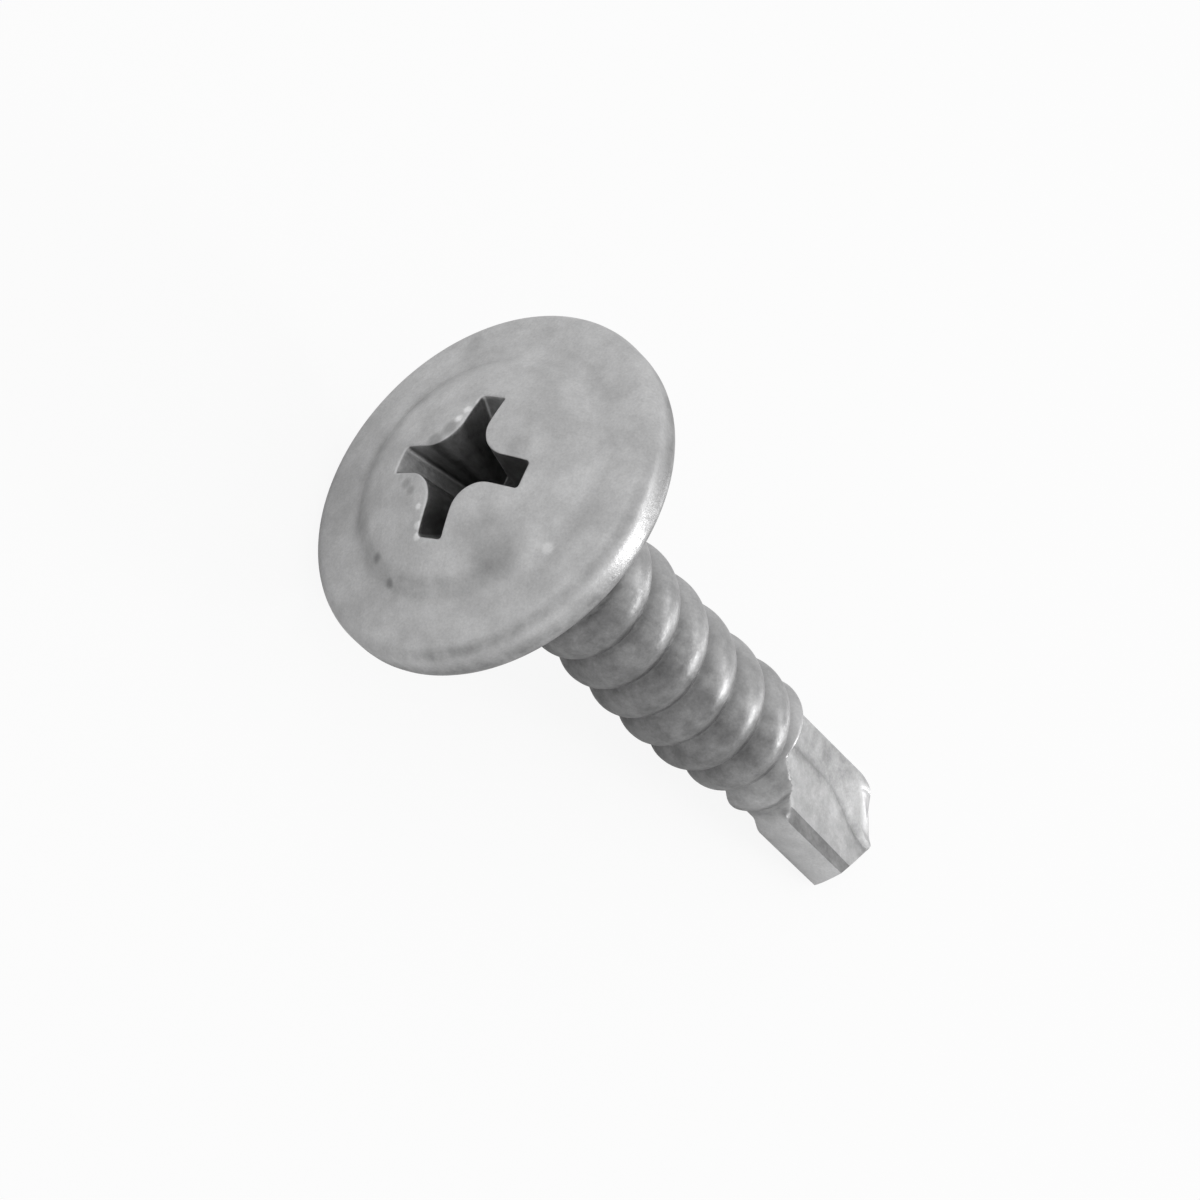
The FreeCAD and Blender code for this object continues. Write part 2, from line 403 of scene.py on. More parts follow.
@dataclass
class Head:
    """The wafer head down to its neck."""

    top: HeadTop = field(default_factory=HeadTop)
    recess: CrossRecess = field(default_factory=CrossRecess)
    neck: Neck = Neck()
    rim_top_round: float = 0.5
    rim_under_round: float = 0.47
    round_sink: float = 0.008
    blend_radius: float = 2.85
    blend_crowding: float = 1.25
    blend_rows: int = 10
    rim_rows: int = 8
    under_rows: int = 7
    fillet_rows: int = 5
    top_radii: tuple[float, ...] = (
        2.98, 3.1, 3.2, 3.3, 3.38, 3.45, 3.51, 3.57, 3.63, 3.69, 3.76, 3.85, 3.98,
        4.15, 4.35, 4.55, 4.72,
    )
    underside_radii: tuple[float, ...] = (4.4, 3.6, 2.8, 2.4)

    def profile(self) -> list[Flat]:
        """Outline of the turned part, from outside the recess to under the head.

        Returns:
            Pairs of radius and height.
        """
        top, under, fillet = self.top, self.rim_under_round, self.neck.fillet
        slope = top.brim_slope()
        reach = self.rim_top_round * math.tan((math.pi / 2 - slope) / 2)
        outline = [(radius, top.height(radius)) for radius in self.top_radii]
        centre = (top.radius - self.rim_top_round, top.rim_height - reach)
        rim = arc(centre, self.rim_top_round, math.pi / 2 - slope, 0.0, self.rim_rows)
        for row, (radius, level) in enumerate(rim):
            outline.append((radius, level - self.round_sink * (1 - row / self.rim_rows)))
        centre = (top.radius - under, under)
        outline += arc(centre, under, 0.0, -math.pi / 2, self.under_rows)
        outline += [(radius, 0.0) for radius in self.underside_radii]
        centre = (self.neck.radius + fillet, -fillet)
        outline += arc(centre, fillet, math.pi / 2, math.pi, self.fillet_rows)
        return outline

    def rings(self) -> list[list[Point]]:
        """Rings of the recess, the top, the rim and the underside.

        Returns:
            The rings, from the bottom of the recess to the neck.
        """
        rings = self.recess.rings(self.top)
        brink = rings[-1]
        angles = uniform_angles()
        for row in range(1, self.blend_rows + 1):
            share = (row / self.blend_rows) ** self.blend_crowding
            ring = []
            for (x, y, _), turn in zip(brink, angles):
                across = between(x, self.blend_radius * math.cos(turn), share)
                along = between(y, self.blend_radius * math.sin(turn), share)
                ring.append((across, along, self.top.height(math.hypot(across, along))))
            rings.append(ring)
        rings += [circle(radius, level, angles) for radius, level in self.profile()]
        return rings


@dataclass
class DrillPoint:
    """The pinched drill point: two flutes, two lands and a roof-shaped end."""

    length: float = 19.5
    core_radius: float = 1.52
    radius: float = 1.72
    shoulder_middle: float = 14.3
    shoulder_half: float = 0.3
    shoulder_lean: float = 0.65
    shoulder_lean_deg: float = 63.0
    lip_deg: float = 82.0
    heel_deg: float = -56.0
    web: float = 0.30
    web_rise: float = 0.15
    web_drift: float = 0.68
    web_turn: Flat = (16.0, 19.1)
    heel_foot: Flat = (0.80, -1.02)
    heel_foot_rise: float = 0.14
    flute_top: float = 12.85
    flute_heel_fall: float = 1.8
    flute_heel_side: Flat = (-0.2, -1.4)
    scoop: float = 0.45
    half_angle_deg: float = 54.0
    relief_deg: float = 33.0
    web_fade: Flat = (0.0, 0.15)
    lip_bevel: Flat = (0.17, 0.85)
    lip_bevel_fade: Flat = (1.62, 1.27)
    least_bevel_share: float = 0.05
    corner_wear: Flat = (0.17, 0.75)
    corner_start: Flat = (1.2, 1.6)
    facet_fade: Flat = (1.6, 1.4)
    facet_levels: Flat = (0.9775, 0.1275)
    land_columns: int = 16
    wall_columns: int = 14
    floor_columns: int = 34
    face_columns: int = 48
    scoop_rows: int = 36
    flute_rows: int = 16
    ground_length: float = 2.6
    ground_rows: int = 24
    ground_crowding: float = 1.3
    approach_start: float = 1.0
    approach_rounds: int = 6
    closing_shares: tuple[float, ...] = (0.985, 0.95, 0.8, 0.6, 0.4, 0.2, 0.07)

    def stem_radius(self, reach: float, turn: float) -> float:
        """Radius of the unfluted stem.

        Args:
            reach: Distance below the head.
            turn: Angle about the axis, in radians.

        Returns:
            The radius, which swells from the core to the drill along a leaning shoulder.
        """
        lean = self.shoulder_lean * math.cos(turn - math.radians(self.shoulder_lean_deg))
        swell = soft_step((reach - self.shoulder_middle + lean) / (2 * self.shoulder_half) + 0.5)
        return between(self.core_radius, self.radius, swell)

    def land(self) -> range:
        """Columns of the land in half a section."""
        return range(self.face_columns, self.face_columns + self.land_columns + 1)

    def first_reach(self) -> float:
        """Distance below the head at which the flutes begin."""
        return self.flute_top - self.scoop * 0.5

    def flute_line(self, reach: float, side: float) -> list[Flat]:
        """Section of one flute in its own frame, opening towards +X, from heel to lip.

        Args:
            reach: Distance of the section below the head.
            side: Angle of the flute's frame, in radians.

        Returns:
            The corners: heel, foot of its wall, web and lip.
        """
        share = (self.length - reach) / (self.length - self.flute_top)
        heel_turn = math.radians(self.heel_deg)
        heel_radius = self.stem_radius(reach, heel_turn + side)
        heel = (heel_radius * math.cos(heel_turn), heel_radius * math.sin(heel_turn))
        foot = (self.heel_foot[0], self.heel_foot[1] + self.heel_foot_rise * share)
        start, end = self.web_turn
        drift = self.web_drift * (1.0 - eased(reach, start, end))
        web = (self.web + self.web_rise * share, drift)
        lip_turn = math.radians(self.lip_deg)
        lip_radius = self.stem_radius(reach, lip_turn + side)
        lip = (lip_radius * math.cos(lip_turn), lip_radius * math.sin(lip_turn))
        return [heel, foot, web, lip]

    def half_section(self, reach: float, side: float) -> list[tuple[Flat, float]]:
        """Columns of half a section: from the web across the face, the land and the heel.

        Args:
            reach: Distance of the section below the head.
            side: Angle of the half's frame, in radians.

        Returns:
            The point of each column in that frame, and the angle at which the column
            would leave a full round stem.
        """
        _, _, web, lip = self.flute_line(reach, side)
        far_heel, far_foot, far_web, _ = (
            (-x, -y) for x, y in self.flute_line(reach, side + math.pi)
        )
        corners = [web, lip, far_heel, far_foot, far_web]
        turns = [math.atan2(y, x) for x, y in corners[:-1]]
        turns.append(math.pi + math.atan2(-far_web[1], -far_web[0]))
        counts = (self.face_columns, self.land_columns, self.wall_columns, self.floor_columns)
        land_place = 1
        columns: list[tuple[Flat, float]] = []
        for place, count in enumerate(counts):
            start, end = corners[place], corners[place + 1]
            for share in cosine_spread(count):
                turn = between(turns[place], turns[place + 1], share)
                if place == land_place:
                    radius = self.stem_radius(reach, turn + side)
                    flat = (radius * math.cos(turn), radius * math.sin(turn))
                else:
                    flat = (between(start[0], end[0], share), between(start[1], end[1], share))
                columns.append((flat, turn))
        return columns

    def stem_angles(self, reach: float) -> list[float]:
        """Angles at which the columns of a section would leave a full round stem."""
        return [
            turn + side for side in (0.0, math.pi) for _, turn in self.half_section(reach, side)
        ]

    def section(self, reach: float) -> list[Flat]:
        """All columns of the section, where the flutes fade into the round stem.

        Args:
            reach: Distance of the section below the head.

        Returns:
            One point for each column.
        """
        flats: list[Flat] = []
        cuts = self.cuts(reach)
        for side, sign in ((0.0, 1.0), (math.pi, -1.0)):
            for (x, y), turn in self.half_section(reach, side):
                cut = cuts[len(flats)]
                radius = self.stem_radius(reach, turn + side)
                round_x, round_y = radius * math.cos(turn), radius * math.sin(turn)
                flats.append((sign * between(round_x, x, cut), sign * between(round_y, y, cut)))
        return flats

    def cuts(self, reach: float) -> list[float]:
        """How far the flutes are cut, from 0 to 1, in every column.

        Args:
            reach: Distance of the section below the head.

        Returns:
            One share for each column; the heel's side of a flute begins lower down.
        """
        shares: list[float] = []
        for side in (0.0, math.pi):
            for column, (_, turn) in enumerate(self.half_section(reach, side)):
                aside = self.radius * math.sin(turn)
                if column >= self.face_columns:
                    aside = -aside
                fall = self.flute_heel_fall * eased(aside, *self.flute_heel_side)
                shares.append(soft_step((reach - self.flute_top - fall) / self.scoop + 0.5))
        return shares

    def roof(self, x: float, y: float) -> float:
        """Height of the ground end over a point of the section.

        Args:
            x: Place across the face.
            y: Place along the face.

        Returns:
            The height, which is negative, as the end lies below the head.
        """
        fall = 1.0 / math.tan(math.radians(self.half_angle_deg))
        relief = math.tan(math.radians(self.relief_deg))
        return -self.length + abs(fall * y - relief * x)

    def bevelled(self, x: float, y: float, above: float) -> Flat:
        """A point of the section, sunk where wear has taken the face off towards its lip.

        Args:
            x: Place across the face.
            y: Place along the face.
            above: Distance of the point above the ground end.

        Returns:
            The place of the sunk point.
        """
        depth, extent = self.lip_bevel
        middle = eased(x * y, *self.web_fade) * eased(abs(y), *self.lip_bevel_fade)
        near_end = max(1.0 - above / (extent * max(middle, self.least_bevel_share)), 0.0)
        sunk = x - math.copysign(depth * middle * near_end, x)
        wear, reach = self.corner_wear
        wear_and_shade = wear * max(1.0 - above / reach, 0.0) ** 2 * eased(y, *self.corner_start)
        return (sunk, y - wear_and_shade)

    def facet(self, x: float, y: float, reach: float) -> float:
        """How much a point of the section belongs to the facet that wear left by the lip, which gets
        a painted highlight.

        Args:
            x: Place across the face.
            y: Place along the face.
            reach: Distance of the point below the head.

        Returns:
            A share between 0 and 1.
        """
        above = -self.roof(x, y) - reach
        middle = eased(x * y, *self.web_fade) * eased(abs(y), *self.facet_fade)
        return middle * eased(above, *self.facet_levels)

    def ground_ends(self) -> list[float]:
        """Find where each column meets the ground end.

        Returns:
            One height for each column.
        """
        ends: list[float] = []
        for column in range(COLUMNS):
            level = -self.length + self.approach_start
            for _ in range(self.approach_rounds):
                level = self.roof(*self.section(-level)[column])
            ends.append(level)
        return ends

    def rings(self) -> list[list[Point]]:
        """Rings from the top of the flutes to the chisel edge.

        Returns:
            The rings, the last one close round the middle of the end.
        """
        first = self.first_reach()
        scooped = self.flute_top + self.flute_heel_fall + self.scoop
        last = self.length - self.ground_length
        reaches = [between(first, scooped, row / self.scoop_rows) for row in range(self.scoop_rows)]
        for row in range(self.flute_rows + 1):
            reaches.append(between(scooped, last, row / self.flute_rows))
        rings = [[(x, y, -reach) for x, y in self.section(reach)] for reach in reaches]
        ends = self.ground_ends()
        for row in range(1, self.ground_rows + 1):
            share = 1.0 - (1.0 - row / self.ground_rows) ** self.ground_crowding
            ring = []
            for column, end in enumerate(ends):
                level = between(-last, end, share)
                x, y = self.section(-level)[column]
                x, y = self.bevelled(x, y, level - end)
                ring.append((x, y, level))
            rings.append(ring)
        brink = rings[-1]
        for share in self.closing_shares:
            rings.append([
                (x * share, y * share, between(-self.length, level, share)) for x, y, level in brink
            ])
        return rings


@dataclass
class Shank:
    """Neck, core and the stem that leads to the drill point."""

    neck: Neck = Neck()
    row_height: float = 0.064
    turning_length: float = 3.0

    def radius(self, reach: float, stem_radius: float) -> float:
        """Radius of the plain shank at a distance below the head."""
        taper = soft_step((reach - self.neck.length) / self.neck.taper)
        return between(self.neck.radius, stem_radius, taper)

    def rings(self, point: DrillPoint) -> list[list[Point]]:
        """Rings from under the neck's fillet to the top of the flutes.

        Args:
            point: The drill point that follows.

        Returns:
            The rings, whose columns turn from even to the drill point's.
        """
        start = self.neck.fillet + self.row_height
        end = point.first_reach()
        count = int((end - start) / self.row_height)
        even = uniform_angles()
        last = point.stem_angles(end)
        rings = []
        for row in range(count):
            reach = between(start, end, row / count)
            share = eased(reach, end - self.turning_length, end)
            angles = [between(flat, turned, share) for flat, turned in zip(even, last)]
            ring = []
            for turn in angles:
                radius = self.radius(reach, point.stem_radius(reach, turn))
                ring.append((radius * math.cos(turn), radius * math.sin(turn), -reach))
            rings.append(ring)
        return rings


@dataclass
class ThreadRolling:
    """Geometry Nodes that raise the right-hand thread out of the plain shank."""

    pitch: float = 1.6
    crest_radius: float = 2.075
    datum_level: float = -11.93
    full_turns: float = 6.0
    taper: float = 0.016
    late_taper: float = 0.27
    late_levels: Flat = (-9.6, -14.6)
    late_shares: Flat = (1.0, 0.1)
    run_in_turns: float = 0.75
    run_in_drop: float = 0.38
    run_in_fade: Flat = (0.85, 1.15)
    run_out_turns: float = 1.55
    run_out_fade: Flat = (0.92, 1.1)
    ridge_round: float = 0.95
    root_softness: float = 0.06
    valley_softness: float = 0.12
    valley_depths: Flat = (0.1, 0.42)
    lean_out: float = 0.11
    lean_out_deg: float = -117.0
    lean_out_levels: Flat = (-3.0, -8.8)
    upright_levels: Flat = (-9.8, -13.0)
    pinch: float = 0.35
    pinch_deg: float = 63.0
    pinch_levels: Flat = (-10.2, -12.9)
    pinch_facing: Flat = (-0.2, 1.0)
    end_squeeze: float = 0.3
    end_squeeze_levels: Flat = (-11.9, -13.7)
    end_level: float = -14.15
    end_lean: float = 0.75
    end_fade: Flat = (-0.2, 0.12)
    crest_wave: float = 0.022
    wave_scale: float = 0.9
    wave_detail: float = 2.0
    wave_middle: float = 0.55
    seed: int = 7

    def sizes(self) -> dict[str, float]:
        """Named inputs of the tree and their values."""
        return {
            "Pitch": self.pitch,
            "Crest Radius": self.crest_radius,
            "Datum Level": self.datum_level,
            "Full Turns": self.full_turns,
            "Run-in Turns": self.run_in_turns,
            "Run-in Drop": self.run_in_drop,
            "Run-out Turns": self.run_out_turns,
            "Taper": self.taper,
            "Late Taper": self.late_taper,
            "Ridge Round": self.ridge_round,
            "Valley Softness": self.valley_softness,
            "Lean Out": self.lean_out,
            "Lean Out Angle": math.radians(self.lean_out_deg),
            "Pinch": self.pinch,
            "Pinch Angle": math.radians(self.pinch_deg),
            "End Squeeze": self.end_squeeze,
            "End Level": self.end_level,
            "End Lean": self.end_lean,
            "Crest Wave": self.crest_wave,
        }

    def tree(self, finish: bpy.types.Material) -> bpy.types.NodeTree:
        """Build the tree.

        Args:
            finish: Material that the tree sets on the screw.

        Returns:
            The finished node tree.
        """
        group = bpy.data.node_groups.new("Roll Thread", "GeometryNodeTree")
        sockets = group.interface
        for way in ("INPUT", "OUTPUT"):
            sockets.new_socket("Geometry", in_out=way, socket_type="NodeSocketGeometry")
        for name, value in self.sizes().items():
            socket = sockets.new_socket(name, in_out="INPUT", socket_type="NodeSocketFloat")
            socket.default_value = value
        seed = sockets.new_socket("Seed", in_out="INPUT", socket_type="NodeSocketInt")
        seed.default_value = self.seed
        nodes, links = group.nodes, group.links
        wiring = Wiring(group)
        compute, ranged = wiring.compute, wiring.ranged
        entry = nodes.new("NodeGroupInput")
        leave = nodes.new("NodeGroupOutput")
        place = nodes.new("GeometryNodeInputPosition")
        apart = nodes.new("ShaderNodeSeparateXYZ")
        links.new(place.outputs[0], apart.inputs[0])
        x, y, z = apart.outputs
        size = {name: entry.outputs[name] for name in self.sizes()}
        radius = compute("SQRT", compute("ADD", compute("MULTIPLY", x, x), compute("MULTIPLY", y, y)))
        around = compute("ARCTAN2", y, x)
        turn = compute("DIVIDE", around, 2.0 * math.pi)
        facing = compute("COSINE", compute("SUBTRACT", around, size["Pinch Angle"]))
        pinched = wiring.product(
            ranged(Ease.SOFT, z, *self.pinch_levels, 0.0, 1.0),
            ranged(Ease.SOFT, facing, *self.pinch_facing, 0.0, size["Pinch"]),
        )
        squeezed = ranged(Ease.SOFT, z, *self.end_squeeze_levels, 0.0, size["End Squeeze"])
        datum = compute("ADD", compute("ADD", size["Datum Level"], pinched), squeezed)
        level = compute("DIVIDE", compute("SUBTRACT", z, datum), size["Pitch"])
        phase = compute("SUBTRACT", level, turn)
        whole = compute("ROUND", phase)
        offset = compute("ABSOLUTE", compute("SUBTRACT", phase, whole))
        away = wiring.product(offset, size["Pitch"])
        along = compute("ADD", whole, turn)

        def sagged(distance: bpy.types.NodeSocket) -> bpy.types.NodeSocket:
            """How far a round ridge has fallen at a distance from its crest.

            Args:
                distance: The distance along the screw's axis.

            Returns:
                The fall.
            """
            round_off = size["Ridge Round"]
            squares = wiring.product(round_off, round_off), wiring.product(distance, distance)
            rest = compute("MAXIMUM", compute("SUBTRACT", *squares), 0.0)
            return compute("SUBTRACT", round_off, compute("SQRT", rest))

        run_in = compute("SUBTRACT", along, size["Full Turns"])
        run_in = compute("DIVIDE", run_in, size["Run-in Turns"])
        run_out = compute("DIVIDE", compute("MULTIPLY", along, -1.0), size["Run-out Turns"])
        drop = compute(
            "ADD",
            wiring.product(compute("MAXIMUM", run_in, 0.0), size["Run-in Drop"]),
            wiring.product(compute("SUBTRACT", size["Full Turns"], along), size["Taper"]),
        )
        late = wiring.product(
            ranged(Ease.SOFT, z, *self.late_levels, 0.0, size["Late Taper"]),
            ranged(Ease.SOFT, facing, -1.0, 1.0, *self.late_shares),
        )
        brink = compute("MULTIPLY_ADD", facing, size["End Lean"], size["End Level"])
        fade = wiring.product(
            ranged(Ease.SOFT, run_in, *self.run_in_fade, 1.0, 0.0),
            ranged(Ease.SOFT, run_out, *self.run_out_fade, 1.0, 0.0),
            ranged(Ease.SOFT, compute("SUBTRACT", z, brink), *self.end_fade, 0.0, 1.0),
        )
        wave = nodes.new("ShaderNodeTexNoise")
        wave.noise_dimensions = "4D"
        wave.inputs["Scale"].default_value = self.wave_scale
        wave.inputs["Detail"].default_value = self.wave_detail
        links.new(entry.outputs["Seed"], wave.inputs["W"])
        links.new(place.outputs[0], wave.inputs["Vector"])
        swing = wiring.product(size["Crest Wave"], 2.0)
        ripple = wiring.product(compute("SUBTRACT", wave.outputs[0], self.wave_middle), swing)
        lowered = compute("SUBTRACT", compute("SUBTRACT", size["Crest Radius"], drop), late)
        crest = compute("ADD", lowered, ripple)
        beyond = compute("SUBTRACT", size["Pitch"], away)
        sag = compute("SMOOTH_MIN", sagged(away), sagged(beyond), size["Valley Softness"])
        proud = compute("SMOOTH_MAX", compute("SUBTRACT", crest, sag), radius, self.root_softness)
        stem = nodes.new("GeometryNodeInputNamedAttribute")
        stem.data_type = "FLOAT"
        stem.inputs["Name"].default_value = "stem"
        share = wiring.product(fade, stem.outputs[0])
        lift = wiring.product(compute("SUBTRACT", proud, radius), share)
        grow = compute("DIVIDE", lift, radius)
        aside = wiring.product(
            ranged(Ease.SOFT, z, *self.lean_out_levels, 0.0, size["Lean Out"]),
            ranged(Ease.SOFT, z, *self.upright_levels, 1.0, 0.0),
        )
        outward = nodes.new("ShaderNodeCombineXYZ")
        for socket, part, operation in zip(outward.inputs, (x, y), ("COSINE", "SINE")):
            lean = wiring.product(aside, compute(operation, size["Lean Out Angle"]))
            wiring.plug(socket, compute("MULTIPLY_ADD", part, grow, lean))
        move = nodes.new("GeometryNodeSetPosition")
        links.new(entry.outputs["Geometry"], move.inputs["Geometry"])
        links.new(outward.outputs[0], move.inputs["Offset"])
        # Store where the thread's valleys are: 1 on the ridges, less down in the valleys, for the
        # finish's painted shade.
        keep = nodes.new("GeometryNodeStoreNamedAttribute")
        keep.data_type = "FLOAT"
        keep.domain = "POINT"
        keep.inputs["Name"].default_value = "proud"
        links.new(move.outputs[0], keep.inputs["Geometry"])
        sunk = compute("SUBTRACT", crest, proud)
        valley = wiring.product(ranged(Ease.SOFT, sunk, *self.valley_depths, 0.0, 1.0), share)
        links.new(compute("SUBTRACT", 1.0, valley), keep.inputs["Value"])
        real = nodes.new("GeometryNodeRealizeInstances")
        dress = nodes.new("GeometryNodeSetMaterial")
        dress.inputs["Material"].default_value = finish
        links.new(keep.outputs[0], real.inputs[0])
        links.new(real.outputs[0], dress.inputs["Geometry"])
        links.new(dress.outputs[0], leave.inputs[0])
        return group

    def roll(self, blank: bpy.types.Object, finish: bpy.types.Material) -> bpy.types.Mesh:
        """Raise the thread on a blank and take the result as a plain mesh.

        Args:
            blank: The turned and fluted blank, upright, in millimetres.
            finish: Material of the screw.

        Returns:
            The evaluated mesh.
        """
        group = self.tree(finish)
        modifier = blank.modifiers.new("Roll Thread", "NODES")
        modifier.node_group = group
        values = {**self.sizes(), "Seed": self.seed}
        for item in group.interface.items_tree:
            if item.item_type == "SOCKET" and item.in_out == "INPUT" and item.name in values:
                modifier[item.identifier] = values[item.name]
        graph = bpy.context.evaluated_depsgraph_get()
        mesh = bpy.data.meshes.new_from_object(blank.evaluated_get(graph))
        blank.modifiers.remove(modifier)
        return mesh


@dataclass(frozen=True)
class PlateLightAndTone:
    """How bright the plating is, much of it painted light: painted shade dulls the thread and darkens
    the recess, the flutes' walls and parts of the head, a painted highlight brightens the facet by
    the lip, and the head and the point are brighter.
    """

    thread: float = 0.42
    thread_lit: float = 0.36
    lit_deg: float = 63.0
    lit_facing: Flat = (-0.2, 1.0)
    last_turn: float = 0.25
    last_turn_reaches: Flat = (11.5, 13.0)
    land: float = 0.97
    land_reaches: Flat = (14.2, 15.4)
    face: float = 0.66
    wall: float = 0.36
    floor: float = 0.73
    crease_shade: float = 0.24
    crease_width: float = 0.35
    facet: float = 0.75
    head_lit_deg: float = 30.0
    foot_shade: float = 0.20
    foot_facing: Flat = (0.5, -0.5)
    foot_inner: Flat = (3.1, 3.4)
    foot_outer: Flat = (3.95, 3.65)
    brim_shade: float = 0.09
    brim_inner: Flat = (3.85, 4.15)
    brim_outer: Flat = (4.6, 4.1)
    rim_shade: float = 0.16
    rim_facing: Flat = (0.75, -0.5)
    rim_inner: Flat = (4.9, 5.3)
    edge_shade: float = 0.22
    edge_turn: float = -0.7
    edge_facing: Flat = (0.375, 1.0)
    edge_inner: Flat = (5.0, 5.2)
    edge_outer: Flat = (5.345, 5.245)
    side_shade: float = 0.36
    side_levels: Flat = (0.9, 0.65)
    recess_lip: float = 0.68
    recess_floor: float = 0.32
    recess_levels: Flat = (0.0, 2.3)

    def on_stem(self, x: float, y: float, reach: float) -> float:
        """Brightness on the round stem, with painted shade: the thread is dull, and lighter on the
        side that faces lit_deg.

        Args:
            x: Place across the screw.
            y: Place along its flute's lip.
            reach: Distance below the head.

        Returns:
            The share of the plate's full brightness.
        """
        facing = math.cos(math.atan2(y, x) - math.radians(self.lit_deg))
        light_and_tone = self.thread + self.thread_lit * eased(facing, *self.lit_facing)
        light_and_tone += self.last_turn * eased(reach, *self.last_turn_reaches)
        return between(light_and_tone, self.land, eased(reach, *self.land_reaches))

    def on_head(self, x: float, y: float, level: float) -> float:
        """Brightness on the head, with painted shade along the foot of the dome, on the brim and the
        rim, along the rim's edge and on its side wall.

        Args:
            x: Place across the head.
            y: Place along the head.
            level: Height above the bearing face.

        Returns:
            The share of the plate's full brightness.
        """
        reach = math.hypot(x, y)
        turn = math.atan2(y, x)
        facing = math.cos(turn - math.radians(self.head_lit_deg))
        foot_side = eased(facing, *self.foot_facing)
        foot = eased(reach, *self.foot_inner) * eased(reach, *self.foot_outer)
        shade = self.foot_shade * foot * foot_side
        brim = eased(reach, *self.brim_inner) * eased(reach, *self.brim_outer)
        shade += self.brim_shade * brim * (1.0 - foot_side)
        shade += self.rim_shade * eased(reach, *self.rim_inner) * eased(facing, *self.rim_facing)
        edge = eased(reach, *self.edge_inner) * eased(reach, *self.edge_outer)
        edge *= eased(math.cos(turn - self.edge_turn), *self.edge_facing)
        shade += self.edge_shade * edge
        side = self.side_shade * eased(level, *self.side_levels)
        return (1.0 - shade) * (1.0 - side)

    def in_recess(self, level: float) -> float:
        """Brightness inside the recess, with painted shade that gets darker towards its floor."""
        return between(self.recess_floor, self.recess_lip, eased(level, *self.recess_levels))

    def in_flute(self, point: DrillPoint, column: int) -> float:
        """Brightness of a column where the flutes are fully cut, with painted shade on the flute's
        wall and in the creases where the face and the floor meet at the web.

        Args:
            point: The drill point.
            column: Number of the column.

        Returns:
            The share of the plate's full brightness.
        """
        place = column % HALF
        if place < point.face_columns:
            near = 1.0 - eased(place / point.face_columns, 0.0, self.crease_width)
            return self.face - self.crease_shade * near
        place -= point.face_columns
        if place < point.land_columns:
            return self.land
        place -= point.land_columns
        if place < point.wall_columns:
            return self.wall
        place -= point.wall_columns
        near = eased(place / point.floor_columns, 1.0 - self.crease_width, 1.0)
        return self.floor - self.crease_shade * near


